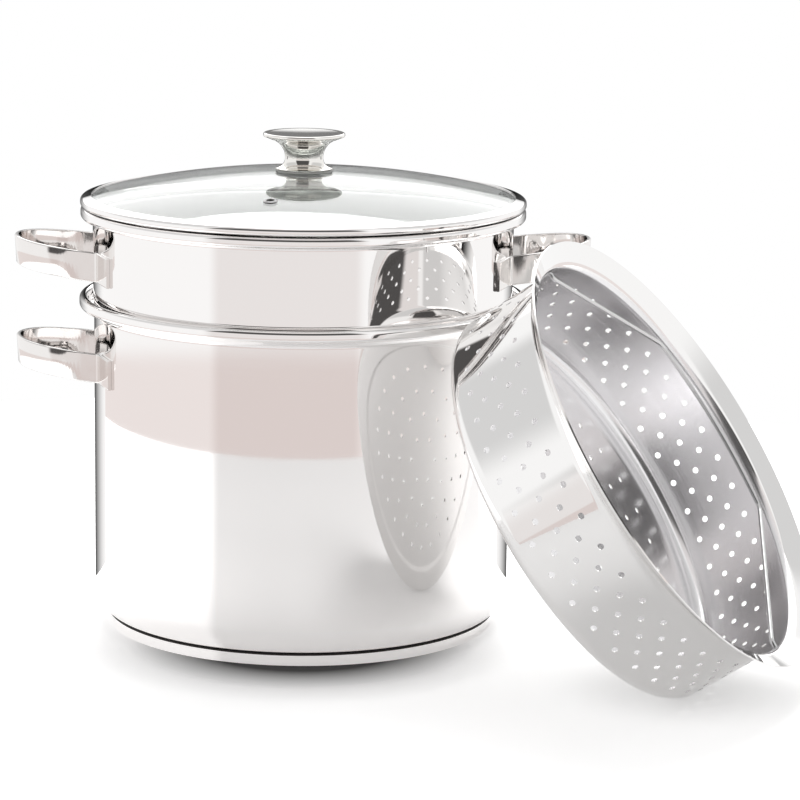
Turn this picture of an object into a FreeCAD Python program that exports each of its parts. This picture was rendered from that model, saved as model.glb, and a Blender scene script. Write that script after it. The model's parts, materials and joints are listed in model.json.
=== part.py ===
import FreeCAD
import Part

import math
import os

from FreeCAD import Vector

# A 24 cm pasta pot with its deep insert and glass lid in place, and a shallow
# steamer basket that leans on it. The origin is the centre of the pot's foot,
# +Z is up, and the handles lie on the X axis.

# Sheet metal
sheet = 0.8                    # drawn stainless sheet of pot, insert and basket
seat_gap = 0.15                # room left where one vessel rests in another
weld_gap = 0.05                # room left at a spot-welded foot
punch_depth = 12.0             # of a perforating tool, well through the sheet

# Pot
pot_radius = 120.5             # outside of the straight wall
pot_corner_radius = 17.0
pot_lip_height = 192.1         # top outer edge of the pouring lip
pot_lip_reach = 8.4            # how far the lip flares out
pot_lip_rise = 10.0            # how far it rises while flaring
lip_bend_radius = 3.0

# Encapsulated base
core_thickness = 4.0
cap_sheet = 0.6
cap_inset = 7.6                # from the pot's wall in to the cap's edge
cap_edge_radius = 1.5
core_clearance = 0.1

# Insert
collar_overhang = 0.55         # from the pot's wall out to the plain collar
collar_height = 51.52          # from the shoulder up to the bend of the lip
insert_lip_reach = 6.95
insert_lip_rise = 7.4
insert_wall_step = 6.05        # from the collar in to the perforated wall
insert_floor_height = 30.0     # underside of the insert's bottom
insert_corner_radius = 12.0
shoulder_bend_radius = 3.0
shoulder_slope = 45.0          # degrees off the wall
insert_rows = 4
insert_holes_per_row = 18
insert_hole_size = 6.0
insert_row_margin = 30.0       # bare wall above and below the rows
insert_floor_pitch = 26.0

# Loop handles, one pair on the pot and one on the insert
strap_height = 16.8
strap_thickness = 2.0
handle_half_width = 36.5       # to the middle of the strap
handle_length = 47.0           # from the wall to the outer end of the loop
foot_length = 17.5             # of a welded foot, sideways from the strap's leg
foot_bend_radius = 3.5
handle_tilt = 7.0              # degrees, rising towards the loop's end
pot_handle_drop = 38.1         # from the edge of the lip down to the strap's middle
insert_handle_drop = 30.8

# Lid
glass_thickness = 3.0
dome_radius = 520.0            # top of the glass
rim_sheet = 0.6
rim_overhang = 0.2             # of the steel ring past the insert's lip
rim_width = 6.2                # from its outer edge in to where the glass comes out
rim_edge_radius = 0.6
rim_fit = 0.1                  # room between ring and glass, above and below
rim_side_room = 1.0            # room between ring and glass at the glass's edge
skirt_clearance = 0.65         # of the skirt that keeps the lid centred in the collar
skirt_depth = 4.5
vent_distance = 83.0           # from the middle of the lid
vent_bearing = -102.8          # degrees
vent_bore_radius = 2.2
grommet_wall = 0.5
grommet_flange_radius = 4.25
grommet_flange = 0.7
grommet_fit = 0.1

# Knob and what clamps it
knob_base_radius = 16.45
knob_waist_radius = 10.95
knob_waist_height = 6.6        # above the knob's foot
knob_neck_radius = 19.1        # under the top disc
knob_neck_height = 17.3
knob_edge = 0.8                # short upright edge of the foot
knob_top_reach = 4.4           # from the neck out to the disc's edge
knob_top_thickness = 2.0
knob_top_flare = 1.7           # rise of the disc's underside
knob_top_dish = 0.6
gasket_thickness = 1.0
screw_radius = 2.5
screw_depth = 10.0             # length inside the knob
screw_end_room = 1.0           # left below the end of the knob's bore
screw_head_radius = 4.8
screw_crown_radius = 2.9       # flat middle of the head
screw_head_height = 3.0
screw_clearance = 0.1
glass_bore_room = 0.75         # from the screw to the glass
washer_radius = 8.0
washer_thickness = 1.0
lower_gasket_radius = 9.0
stack_gap = 0.05

# Steamer basket, in its own frame: its floor is z = 0 and its axis is z
basket_radius = 118.0
basket_corner_radius = 8.4
basket_lip_height = 67.8
basket_lip_reach = 12.5
basket_lip_rise = 7.2
basket_lip_bend_radius = 7.0
basket_step_inset = 22.0       # from the wall in to the edge of the raised middle
basket_step_width = 3.0
basket_step_height = 2.0
basket_holes_per_row = 40
basket_hole_size = 3.5
basket_first_row = 15.0
basket_row_pitch = 7.75
basket_floor_pitch = 19.0

# How the basket leans: a bearing seen from above, and the way it faces
basket_bearing = -41.11
basket_facing = -21.7
basket_elevation = 34.0        # of its axis above the table
lean_gap = 0.3
lean_tolerance = 0.005

# Wire handle of the basket, in the basket's frame
wire_radius = 1.25
wire_hole_gap = 0.08
bail_drop = 10.3               # from the edge of the lip down to the two holes
bail_end = 4.0                 # wire that shows outside the wall
bail_shoulder_inset = 4.0      # from the wall in to where the legs start to close in
bail_corner_clearance = 2.3    # between the wire's corners and the wall
bail_corner_half_width = 54.0
bail_bar_inset = 9.5           # from the wall in to the middle of the bar
bail_bar_half_width = 18.0
bail_bar_flat = 3.4            # straight middle of the bar
bail_shoulder_bend = 3.5
bail_corner_bend = 8.0

# Perforations are drawn with few sides, so that the mesh stays light
hole_sides = 6

# What follows from the sizes above
pot_floor = core_thickness + cap_sheet
cap_radius = pot_radius - cap_inset
collar_radius = pot_radius + collar_overhang
insert_wall_radius = collar_radius - insert_wall_step
rim_radius = collar_radius + insert_lip_reach + rim_overhang
rim_inner_radius = rim_radius - rim_width
glass_radius = rim_radius - rim_sheet - rim_side_room
skirt_radius = collar_radius - sheet - skirt_clearance
glass_bore_radius = screw_radius + glass_bore_room
foot_half_width = handle_half_width + foot_length
basket_step_radius = basket_radius - basket_step_inset
bail_height = basket_lip_height - bail_drop

Z = Vector(0, 0, 1)
CENTRE = Vector(0, 0, 0)


def point(radius, height):
    """A point of a section, drawn in the XZ plane."""
    return Vector(radius, 0, height)


def left_of(direction):
    """The unit vector to the left of a direction in the XZ plane."""
    return Vector(-direction.z, 0, direction.x).normalize()


def turn_between(before, corner, after):
    """Signed angle turned at a corner of a section, left turns positive."""
    first = corner - before
    second = after - corner
    cross = first.x * second.z - first.z * second.x
    return math.atan2(cross, first.dot(second))


def shifted_path(points, distance):
    """The corners of a path moved sideways, to its left if positive."""
    moved = [points[0] + left_of(points[1] - points[0]) * distance]
    for before, corner, after in zip(points, points[1:], points[2:]):
        first = left_of(corner - before)
        second = left_of(after - corner)
        moved.append(corner + (first + second) * (distance / (1 + first.dot(second))))
    moved.append(points[-1] + left_of(points[-1] - points[-2]) * distance)
    return moved


def shifted_radii(points, radii, distance):
    """The corner radii of the moved path, so that both paths are concentric."""
    result = []
    for before, corner, after, radius in zip(points, points[1:], points[2:], radii):
        inside = turn_between(before, corner, after) * distance > 0
        moved = radius - abs(distance) if inside else radius + abs(distance)
        result.append(max(moved, 0.0) if radius > 0 else 0.0)
    return result


def rounded_path(points, radii):
    """Edges along a path of straight runs joined by tangent arcs."""
    edges = []
    start = points[0]
    for before, corner, after, radius in zip(points, points[1:], points[2:], radii):
        if radius < 0.01:
            edges.append(Part.makeLine(start, corner))
            start = corner
            continue
        back = (before - corner).normalize()
        ahead = (after - corner).normalize()
        half_turn = (math.pi - back.getAngle(ahead)) / 2
        cut = radius * math.tan(half_turn)
        middle = corner + (back + ahead).normalize() * (radius / math.cos(half_turn) - radius)
        first = corner + back * cut
        last = corner + ahead * cut
        edges.append(Part.makeLine(start, first))
        edges.append(Part.Arc(first, middle, last).toShape())
        start = last
    edges.append(Part.makeLine(start, points[-1]))
    return edges


def sheet_section(points, radii, thickness):
    """A bent sheet seen edge on; its thickness lies left of the path."""
    other = shifted_path(points, thickness)
    other_radii = shifted_radii(points, radii, thickness)
    edges = rounded_path(points, radii)
    edges += rounded_path(other, other_radii)
    edges.append(Part.makeLine(points[0], other[0]))
    edges.append(Part.makeLine(points[-1], other[-1]))
    return Part.Face(Part.Wire(Part.__sortEdges__(edges)))


def turned(face):
    """The solid that a section gives when it is turned about the Z axis."""
    return face.revolve(CENTRE, Z, 360)


def polygon(points):
    return Part.Face(Part.makePolygon(points + [points[0]]))


def disc(radius, height, z, bore=0.0):
    shape = Part.makeCylinder(radius, height, Vector(0, 0, z))
    if bore > 0:
        shape = shape.cut(Part.makeCylinder(bore, height, Vector(0, 0, z)))
    return shape


def flared_top(lip_height, reach, rise):
    """Height of the inner, upper edge of a flared lip."""
    return lip_height + sheet * reach / math.hypot(reach, rise)


def hole_prism(size):
    """A perforating punch along Z, with its corners on the hole's circle."""
    radius = size / 2
    corners = []
    for side in range(hole_sides):
        angle = 2 * math.pi * side / hole_sides
        corners.append(Vector(radius * math.cos(angle), radius * math.sin(angle), 0))
    return polygon(corners).extrude(Vector(0, 0, punch_depth))


def wall_punches(radius, size, heights, per_row):
    """Radial punches in staggered rows round a wall."""
    punches = []
    for row, height in enumerate(heights):
        for place in range(per_row):
            angle = 360 * (place + 0.5 * (row % 2)) / per_row
            punch = hole_prism(size)
            punch.rotate(CENTRE, Vector(0, 1, 0), 90)
            punch.translate(Vector(radius - punch_depth / 2, 0, height))
            punch.rotate(CENTRE, Z, angle)
            punches.append(punch)
    return punches


def floor_punches(size, pitch, flat_radius, z):
    """Upright punches in as many rings as a flat floor has room for."""
    punches = []
    for ring in range(1, int((flat_radius - size) / pitch) + 1):
        count = 6 * ring
        for place in range(count):
            angle = 360 * place / count
            punch = hole_prism(size)
            punch.translate(Vector(pitch * ring, 0, z - punch_depth / 2))
            punch.rotate(CENTRE, Z, angle)
            punches.append(punch)
    return punches


def pot_body():
    bend = pot_lip_height - pot_lip_rise
    path = [point(0, pot_floor), point(pot_radius, pot_floor), point(pot_radius, bend),
            point(pot_radius + pot_lip_reach, pot_lip_height)]
    return turned(sheet_section(path, [pot_corner_radius, lip_bend_radius], sheet))


def base_cap():
    """The steel cap, up to where the pot's corner passes its inner wall."""
    run = cap_radius - cap_sheet - (pot_radius - pot_corner_radius)
    rise = pot_corner_radius - math.sqrt(pot_corner_radius ** 2 - run ** 2)
    height = pot_floor + rise - stack_gap
    path = [point(0, 0), point(cap_radius, 0), point(cap_radius, height)]
    return turned(sheet_section(path, [cap_edge_radius], cap_sheet))


def base_core():
    """The aluminium disc, its lower edge broken to clear the cap's bend."""
    edge = cap_radius - cap_sheet - core_clearance
    broken = cap_edge_radius - cap_sheet
    return turned(polygon([point(0, cap_sheet), point(edge - broken, cap_sheet),
                           point(edge, cap_sheet + broken), point(edge, pot_floor),
                           point(0, pot_floor)]))


def shoulder_height():
    """Height of the insert's shoulder when it rests in the pot's flared lip."""
    flare = math.atan2(pot_lip_reach, pot_lip_rise)
    inside = sheet + shoulder_bend_radius + seat_gap
    across = (collar_radius - shoulder_bend_radius - pot_radius) * math.cos(flare)
    rise = (across + inside) / math.sin(flare)
    centre = pot_lip_height - pot_lip_rise + rise
    return centre - shoulder_bend_radius * math.tan(math.radians(shoulder_slope) / 2)


shoulder = shoulder_height()
collar_bend_height = shoulder + collar_height
insert_lip_height = collar_bend_height + insert_lip_rise


def insert_body():
    step_rise = insert_wall_step / math.tan(math.radians(shoulder_slope))
    path = [point(0, insert_floor_height),
            point(insert_wall_radius, insert_floor_height),
            point(insert_wall_radius, shoulder - step_rise),
            point(collar_radius, shoulder),
            point(collar_radius, collar_bend_height),
            point(collar_radius + insert_lip_reach, insert_lip_height)]
    radii = [insert_corner_radius, shoulder_bend_radius, shoulder_bend_radius, lip_bend_radius]
    shell = turned(sheet_section(path, radii, sheet))
    low = insert_floor_height + insert_row_margin
    high = shoulder - insert_row_margin
    heights = [low + (high - low) * row / (insert_rows - 1) for row in range(insert_rows)]
    punches = wall_punches(insert_wall_radius, insert_hole_size, heights, insert_holes_per_row)
    punches += floor_punches(insert_hole_size, insert_floor_pitch,
                             insert_wall_radius - insert_corner_radius, insert_floor_height)
    return shell.cut(Part.makeCompound(punches))


def strap_side(wall, shift):
    """Points of one side of the strap, from its foot to the loop's end.

    The strap's middle hugs the wall, bends out, runs out parallel to X and
    goes round a half circle. shift moves the side off the strap's middle,
    outwards from the loop.
    """
    middle = wall + weld_gap + strap_thickness / 2
    bend_x = math.sqrt((middle + foot_bend_radius) ** 2
                       - (handle_half_width + foot_bend_radius) ** 2)
    bend_y = handle_half_width + foot_bend_radius
    bend_angle = math.atan2(bend_y, bend_x)
    foot_angle = math.asin(foot_half_width / middle)
    foot_radius = middle + shift
    radius = foot_bend_radius - shift
    end_radius = handle_half_width + shift
    end_x = wall + handle_length - strap_thickness / 2 - handle_half_width

    def on_wall(angle):
        return Vector(foot_radius * math.cos(angle), foot_radius * math.sin(angle), 0)

    def on_bend(angle):
        return Vector(bend_x + radius * math.cos(angle), bend_y + radius * math.sin(angle), 0)

    turn_in = bend_angle + math.pi
    turn_out = 1.5 * math.pi
    return [on_wall(foot_angle), on_wall((foot_angle + bend_angle) / 2), on_wall(bend_angle),
            on_bend((turn_in + turn_out) / 2), on_bend(turn_out),
            Vector(end_x, end_radius, 0), Vector(end_x + end_radius, 0, 0)]


def mirrored(vector):
    return Vector(vector.x, -vector.y, vector.z)


def strap_edges(points):
    foot, foot_middle, foot_end, bend_middle, leg, end, tip = points
    edges = []
    for place in (lambda vector: vector, mirrored):
        edges.append(Part.Arc(place(foot), place(foot_middle), place(foot_end)).toShape())
        edges.append(Part.Arc(place(foot_end), place(bend_middle), place(leg)).toShape())
        edges.append(Part.makeLine(place(leg), place(end)))
    edges.append(Part.Arc(end, tip, mirrored(end)).toShape())
    return edges


def handle(wall, height, bearing):
    """A strap loop, bent in plan and trimmed between two sloping planes."""
    inner = strap_side(wall, -strap_thickness / 2)
    outer = strap_side(wall, strap_thickness / 2)
    edges = strap_edges(inner) + strap_edges(outer)
    edges.append(Part.makeLine(inner[0], outer[0]))
    edges.append(Part.makeLine(mirrored(inner[0]), mirrored(outer[0])))
    plan = Part.Face(Part.Wire(Part.__sortEdges__(edges)))
    tall = 4 * strap_height
    loop = plan.extrude(Vector(0, 0, tall))
    loop.translate(Vector(0, 0, height - tall / 2))
    span = 2 * (wall + handle_length)
    slab = Part.makeBox(span, span, strap_height, Vector(-span / 2, -span / 2, -strap_height / 2))
    slab.rotate(CENTRE, Vector(0, 1, 0), -handle_tilt)
    slab.translate(Vector(wall, 0, height))
    strap = loop.common(slab)
    strap.rotate(CENTRE, Z, bearing)
    return strap


# Heights of the lid, stacked from the insert's lip upwards
insert_lip_top = flared_top(insert_lip_height, insert_lip_reach, insert_lip_rise)
rim_floor = insert_lip_top + seat_gap


def dome_drop(radius, distance):
    """How far a sphere has fallen at a distance from its axis."""
    return radius - math.sqrt(radius ** 2 - distance ** 2)


glass_floor = rim_floor + rim_sheet + rim_fit
apex = (glass_floor + glass_thickness
        + dome_drop(dome_radius - glass_thickness, glass_radius))


def dome_edge(radius, first, last):
    """The arc of a sphere about the lid's axis, between two distances."""
    centre = apex - dome_radius
    ends = []
    for distance in (first, (first + last) / 2, last):
        ends.append(point(distance, centre + math.sqrt(radius ** 2 - distance ** 2)))
    return ends


def vent_frame(shape):
    """Puts a piece drawn on the Z axis at the vent, square to the glass."""
    tilt = math.degrees(math.asin(vent_distance / dome_radius))
    shape.rotate(CENTRE, Vector(0, 1, 0), tilt)
    shape.translate(Vector(vent_distance, 0, apex - dome_drop(dome_radius, vent_distance)))
    shape.rotate(CENTRE, Z, vent_bearing)
    return shape


def lid_glass():
    top = dome_edge(dome_radius, glass_bore_radius, glass_radius)
    under = dome_edge(dome_radius - glass_thickness, glass_bore_radius, glass_radius)
    edges = [Part.Arc(*top).toShape(), Part.Arc(*under).toShape(),
             Part.makeLine(top[0], under[0]), Part.makeLine(top[-1], under[-1])]
    glass = turned(Part.Face(Part.Wire(Part.__sortEdges__(edges))))
    bore = disc(vent_bore_radius + grommet_wall + grommet_fit, 4 * glass_thickness,
                -3 * glass_thickness)
    return glass.cut(vent_frame(bore))


def vent_grommet():
    outer = vent_bore_radius + grommet_wall
    top = grommet_fit
    under = -glass_thickness - grommet_fit
    path = [point(vent_bore_radius, under - grommet_flange),
            point(grommet_flange_radius, under - grommet_flange),
            point(grommet_flange_radius, under),
            point(outer, under),
            point(outer, top),
            point(grommet_flange_radius, top),
            point(outer, top + grommet_flange),
            point(vent_bore_radius, top + grommet_flange)]
    return vent_frame(turned(polygon(path)))


def lid_rim():
    """A ring bent round the glass, with a skirt that drops into the insert."""
    inner_drop = dome_drop(dome_radius, rim_inner_radius)
    outer_drop = dome_drop(dome_radius, rim_radius)
    cover = rim_fit + rim_sheet
    path = [point(rim_inner_radius, apex - inner_drop + cover),
            point(rim_radius, apex - outer_drop + cover),
            point(rim_radius, rim_floor),
            point(skirt_radius, rim_floor),
            point(skirt_radius, rim_floor - skirt_depth)]
    return turned(sheet_section(path, [rim_edge_radius, 0, 0], -rim_sheet))


def waist_arc(waist, end):
    """Middle of the arc that leaves the waist upright and reaches an end."""
    across = end.x - waist.x
    along = end.z - waist.z
    radius = (across ** 2 + along ** 2) / (2 * across)
    half = math.atan2(along, radius - across) / 2
    return point(waist.x + radius * (1 - math.cos(half)), waist.z + radius * math.sin(half))


knob_floor = apex + stack_gap + gasket_thickness
knob_ceiling = knob_floor + knob_neck_height
knob_top_radius = knob_neck_radius + knob_top_reach


def knob_stem():
    waist = point(knob_waist_radius, knob_floor + knob_waist_height)
    foot = point(knob_base_radius, knob_floor + knob_edge)
    neck = point(knob_neck_radius, knob_ceiling)
    bore_radius = screw_radius + screw_clearance
    bore_top = knob_floor + screw_depth + screw_end_room
    edges = [Part.Arc(foot, waist_arc(waist, foot), waist).toShape(),
             Part.Arc(waist, waist_arc(waist, neck), neck).toShape(),
             Part.makePolygon([neck, point(0, knob_ceiling), point(0, bore_top),
                               point(bore_radius, bore_top), point(bore_radius, knob_floor),
                               point(knob_base_radius, knob_floor), foot])]
    return turned(Part.Face(Part.Wire(edges[:2] + edges[2].Edges)))


def knob_top():
    rim = knob_ceiling + knob_top_flare
    crown = rim + knob_top_thickness
    outline = [point(0, knob_ceiling), point(knob_neck_radius, knob_ceiling),
               point(knob_top_radius, rim), point(knob_top_radius, crown - knob_top_dish),
               point(knob_top_radius - knob_top_dish, crown), point(0, crown - knob_top_dish)]
    return turned(polygon(outline))


def knob_gasket():
    return disc(knob_base_radius - stack_gap, gasket_thickness, apex + stack_gap,
                screw_radius + screw_clearance)


# What clamps the knob, stacked from the underside of the glass downwards
stack_top = (apex - glass_thickness - stack_gap
             - dome_drop(dome_radius - glass_thickness, lower_gasket_radius))
washer_floor = stack_top - gasket_thickness - washer_thickness


def screw_gasket():
    return disc(lower_gasket_radius, gasket_thickness, stack_top - gasket_thickness,
                screw_radius + screw_clearance)


def screw_washer():
    return disc(washer_radius, washer_thickness, washer_floor, screw_radius + screw_clearance)


def knob_screw():
    outline = [point(0, washer_floor - screw_head_height),
               point(screw_crown_radius, washer_floor - screw_head_height),
               point(screw_head_radius, washer_floor - screw_head_height / 2),
               point(screw_head_radius, washer_floor),
               point(screw_radius, washer_floor),
               point(screw_radius, knob_floor + screw_depth),
               point(0, knob_floor + screw_depth)]
    return turned(polygon(outline))


def basket_path():
    low = basket_step_radius
    return [point(0, basket_step_height),
            point(low - basket_step_width, basket_step_height),
            point(low, 0),
            point(basket_radius, 0),
            point(basket_radius, basket_lip_height - basket_lip_rise),
            point(basket_radius + basket_lip_reach, basket_lip_height)]


def basket_shell():
    radii = [0, 0, basket_corner_radius, basket_lip_bend_radius]
    return turned(sheet_section(basket_path(), radii, sheet))


def basket():
    rows = int((bail_height - basket_first_row) / basket_row_pitch)
    heights = [basket_first_row + basket_row_pitch * row for row in range(rows)]
    punches = wall_punches(basket_radius, basket_hole_size, heights, basket_holes_per_row)
    punches += floor_punches(basket_hole_size, basket_floor_pitch,
                             basket_step_radius - basket_step_width, basket_step_height)
    span = 2 * (basket_radius + 2 * bail_end)
    wire_hole = Part.makeCylinder(wire_radius + wire_hole_gap, span,
                                  Vector(0, -span / 2, bail_height), Vector(0, 1, 0))
    punches.append(wire_hole)
    return basket_shell().cut(Part.makeCompound(punches))


def bail():
    """Bent wire: its ends leave through the wall along Y, its bar lies at +X."""
    corner_radius = basket_radius - sheet - wire_radius - bail_corner_clearance
    corner_reach = math.sqrt(corner_radius ** 2 - bail_corner_half_width ** 2)
    bar_reach = basket_radius - bail_bar_inset
    half = [Vector(0, basket_radius + bail_end, 0),
            Vector(0, basket_radius - bail_shoulder_inset, 0),
            Vector(corner_reach, bail_corner_half_width, 0),
            Vector(bar_reach, bail_bar_half_width, 0)]
    path = half + [mirrored(vector) for vector in reversed(half)]
    bar_turn = math.atan2(bar_reach - corner_reach, bail_corner_half_width - bail_bar_half_width)
    bar_bend = (bail_bar_half_width - bail_bar_flat / 2) / math.tan(bar_turn / 2)
    bends = [bail_shoulder_bend, bail_corner_bend, bar_bend]
    spine = Part.Wire(rounded_path(path, bends + bends[::-1]))
    ring = Part.Wire([Part.makeCircle(wire_radius, path[0], Vector(0, 1, 0))])
    wire = spine.makePipeShell([ring], True, False)
    wire.translate(Vector(0, 0, bail_height))
    return wire


def lean_matrix(reach):
    """The basket's placement when its floor's middle is a reach away."""
    facing = math.radians(basket_facing)
    rise = math.radians(basket_elevation)
    axis = Vector(math.cos(rise) * math.cos(facing), math.cos(rise) * math.sin(facing),
                  math.sin(rise))
    side = Vector(-math.sin(facing), math.cos(facing), 0)
    up = axis.cross(side)
    flat = basket_radius - basket_corner_radius
    height = flat * math.cos(rise) + basket_corner_radius * (1 - math.sin(rise))
    bearing = math.radians(basket_bearing)
    return FreeCAD.Matrix(side.x, up.x, axis.x, reach * math.cos(bearing),
                          side.y, up.y, axis.y, reach * math.sin(bearing),
                          side.z, up.z, axis.z, height, 0, 0, 0, 1)


def leaning_matrix(neighbours):
    """Slides the basket up to what it leans on, until only the gap is left."""
    shell = basket_shell()
    reach = 2 * (pot_radius + basket_radius)
    apart = reach
    while apart > lean_tolerance:
        placed = shell.transformed(lean_matrix(reach))
        apart = placed.distToShape(neighbours)[0] - lean_gap
        reach -= apart
    return lean_matrix(reach)


def build():
    nodes = {"pot_body": pot_body(), "base_core": base_core(), "base_cap": base_cap(),
             "insert_body": insert_body()}
    for side, bearing in (("right", 0), ("left", 180)):
        nodes["pot_handle_" + side] = handle(pot_radius, pot_lip_height - pot_handle_drop,
                                             bearing)
        nodes["insert_handle_" + side] = handle(collar_radius,
                                                insert_lip_height - insert_handle_drop,
                                                bearing)
    beside = [nodes["pot_body"], nodes["pot_handle_right"], nodes["insert_handle_right"]]
    lean = leaning_matrix(Part.makeCompound(beside))
    nodes.update({
        "lid_glass": lid_glass(),
        "lid_rim": lid_rim(),
        "vent_grommet": vent_grommet(),
        "knob_gasket": knob_gasket(),
        "knob_stem": knob_stem(),
        "knob_top": knob_top(),
        "screw_gasket": screw_gasket(),
        "screw_washer": screw_washer(),
        "knob_screw": knob_screw(),
        "steamer_body": basket().transformed(lean),
        "steamer_bail": bail().transformed(lean),
    })
    return nodes


os.makedirs("parts", exist_ok=True)
for name, shape in build().items():
    solids = shape.Solids
    print(name, len(solids), "solid", round(shape.Volume / 1000, 2), "cm3", shape.isValid())
    body = solids[0] if len(solids) == 1 else Part.makeCompound(solids)
    body.exportStep("parts/" + name + ".step")
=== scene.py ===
import json
import math

import bpy
import numpy as np
from mathutils import Matrix, Vector


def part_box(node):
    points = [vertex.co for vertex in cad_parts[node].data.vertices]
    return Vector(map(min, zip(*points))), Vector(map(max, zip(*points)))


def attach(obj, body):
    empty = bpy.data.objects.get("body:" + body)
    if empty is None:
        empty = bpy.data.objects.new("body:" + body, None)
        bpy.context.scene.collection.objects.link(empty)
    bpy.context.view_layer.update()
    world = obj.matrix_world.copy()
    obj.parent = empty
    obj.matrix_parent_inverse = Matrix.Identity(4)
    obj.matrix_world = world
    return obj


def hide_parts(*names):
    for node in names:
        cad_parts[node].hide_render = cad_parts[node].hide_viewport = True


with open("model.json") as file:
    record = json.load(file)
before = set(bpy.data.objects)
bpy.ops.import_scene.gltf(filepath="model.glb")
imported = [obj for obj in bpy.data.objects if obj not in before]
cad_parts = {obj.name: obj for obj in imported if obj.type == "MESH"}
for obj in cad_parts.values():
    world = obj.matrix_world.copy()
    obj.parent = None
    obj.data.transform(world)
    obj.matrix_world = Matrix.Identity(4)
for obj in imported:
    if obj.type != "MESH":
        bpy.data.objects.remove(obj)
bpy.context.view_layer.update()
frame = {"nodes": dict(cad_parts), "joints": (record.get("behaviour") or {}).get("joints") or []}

mm = 0.001
nodes = frame["nodes"]
joint = frame["joints"][0]


# Colour and node helpers

# sRGB hex to linear: c / 12.92 below 0.04045, else ((c + 0.055) / 1.055) ^ 2.4
def hexColour(text):
    values = [int(text[i:i + 2], 16) / 255 for i in (1, 3, 5)]
    return [c / 12.92 if c <= 0.04045 else ((c + 0.055) / 1.055) ** 2.4 for c in values] + [1]


# Adds one node; settings are its properties, values its inputs by name or number. A value
# is a number, another node's output, or a node, whose first output is then linked
def addNode(tree, kind, settings=None, values=None):
    node = tree.nodes.new(kind)
    for key, value in (settings or {}).items():
        setattr(node, key, value)
    for key, value in (values or {}).items():
        if isinstance(value, bpy.types.Node):
            value = value.outputs[0]
        if isinstance(value, bpy.types.NodeSocket):
            tree.links.new(value, node.inputs[key])
        else:
            node.inputs[key].default_value = value
    return node


def newMaterial(name):
    material = bpy.data.materials.new(name)
    material.use_nodes = True
    tree = material.node_tree
    tree.nodes.clear()
    return material, tree


def endMaterial(tree, shader):
    addNode(tree, "ShaderNodeOutputMaterial", None, {"Surface": shader})


# Metal polished or brushed round the Z axis of a turned or spun piece. place turns the
# pattern into the piece's own frame. The lines are noise over (angle, height), drawn
# much coarser than real polishing scratches, which are a few hundredths of a mm apart.
def spunSteel(name, look, place=None):
    material, tree = newMaterial(name)
    coords = addNode(tree, "ShaderNodeTexCoord").outputs["Object"]
    if place is not None:
        inverse = place.inverted()
        coords = addNode(tree, "ShaderNodeMapping", {"vector_type": "POINT"}, {
            "Vector": coords, "Location": inverse.to_translation(),
            "Rotation": inverse.to_euler()})
    split = addNode(tree, "ShaderNodeSeparateXYZ", None, {0: coords}).outputs
    angle = addNode(tree, "ShaderNodeMath", {"operation": "ARCTAN2"}, {0: split[1], 1: split[0]})
    square = addNode(tree, "ShaderNodeVectorMath", {"operation": "MULTIPLY"}, {
        0: coords, 1: (1, 1, 0)})
    radius = addNode(tree, "ShaderNodeVectorMath", {"operation": "LENGTH"},
                     {0: square}).outputs["Value"]
    along = addNode(tree, "ShaderNodeMath", {"operation": "ADD"}, {0: radius, 1: split[2]})
    stretched = addNode(tree, "ShaderNodeCombineXYZ", None, {
        0: addNode(tree, "ShaderNodeMath", {"operation": "MULTIPLY"},
                   {0: angle, 1: look["aroundScale"]}),
        1: addNode(tree, "ShaderNodeMath", {"operation": "MULTIPLY"},
                   {0: along, 1: 1 / (look["lineSpacing"] * mm)})})
    lines = addNode(tree, "ShaderNodeTexNoise", None, {
        "Vector": stretched, "Scale": 1.0, "Detail": 3.0, "Roughness": 0.6})
    wave = addNode(tree, "ShaderNodeTexNoise", None, {
        "Vector": coords, "Scale": 1 / (look["waveLength"] * mm), "Detail": 1.0})
    rough = addNode(tree, "ShaderNodeMapRange", None, {
        "Value": lines, "From Min": 0.3, "From Max": 0.7,
        "To Min": look["roughness"][0], "To Max": look["roughness"][1]})
    low = addNode(tree, "ShaderNodeBump", None, {
        "Height": wave, "Distance": look["waveDepth"] * mm, "Strength": 1.0})
    fine = addNode(tree, "ShaderNodeBump", None, {
        "Height": lines, "Distance": look["lineDepth"] * mm, "Strength": 1.0,
        "Normal": low})
    shader = addNode(tree, "ShaderNodeBsdfPrincipled", None, {
        "Base Color": hexColour(look["colour"]), "Metallic": 1.0, "Roughness": rough,
        "Normal": fine})
    if look.get("brushed"):
        around = addNode(tree, "ShaderNodeAttribute", {"attribute_name": "around"})
        tangent = addNode(tree, "ShaderNodeVectorTransform", {
            "vector_type": "VECTOR", "convert_from": "OBJECT", "convert_to": "WORLD"},
            {0: around.outputs["Vector"]})
        shader.inputs["Anisotropic"].default_value = look["brushed"]
        tree.links.new(tangent.outputs[0], shader.inputs["Tangent"])
    endMaterial(tree, shader)
    return material


# Strap, wire, washers and small parts: no pattern round an axis, only faint waves. They are
# metal where metallic isn't given
def plainFinish(name, look):
    material, tree = newMaterial(name)
    coords = addNode(tree, "ShaderNodeTexCoord").outputs["Object"]
    grain = addNode(tree, "ShaderNodeTexNoise", None, {
        "Vector": coords, "Scale": 1 / (look["grain"] * mm), "Detail": 3.0})
    rough = addNode(tree, "ShaderNodeMapRange", None, {
        "Value": grain, "From Min": 0.3, "From Max": 0.7,
        "To Min": look["roughness"][0], "To Max": look["roughness"][1]})
    bump = addNode(tree, "ShaderNodeBump", None, {
        "Height": grain, "Distance": look["depth"] * mm, "Strength": 1.0})
    shader = addNode(tree, "ShaderNodeBsdfPrincipled", None, {
        "Base Color": hexColour(look["colour"]), "Metallic": look.get("metallic", 1.0),
        "Roughness": rough, "Normal": bump})
    endMaterial(tree, shader)
    return material


# Curves and surfaces, all in millimetres until the mesh is made

def unit(v):
    return v / np.linalg.norm(v, axis=-1, keepdims=True)


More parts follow.
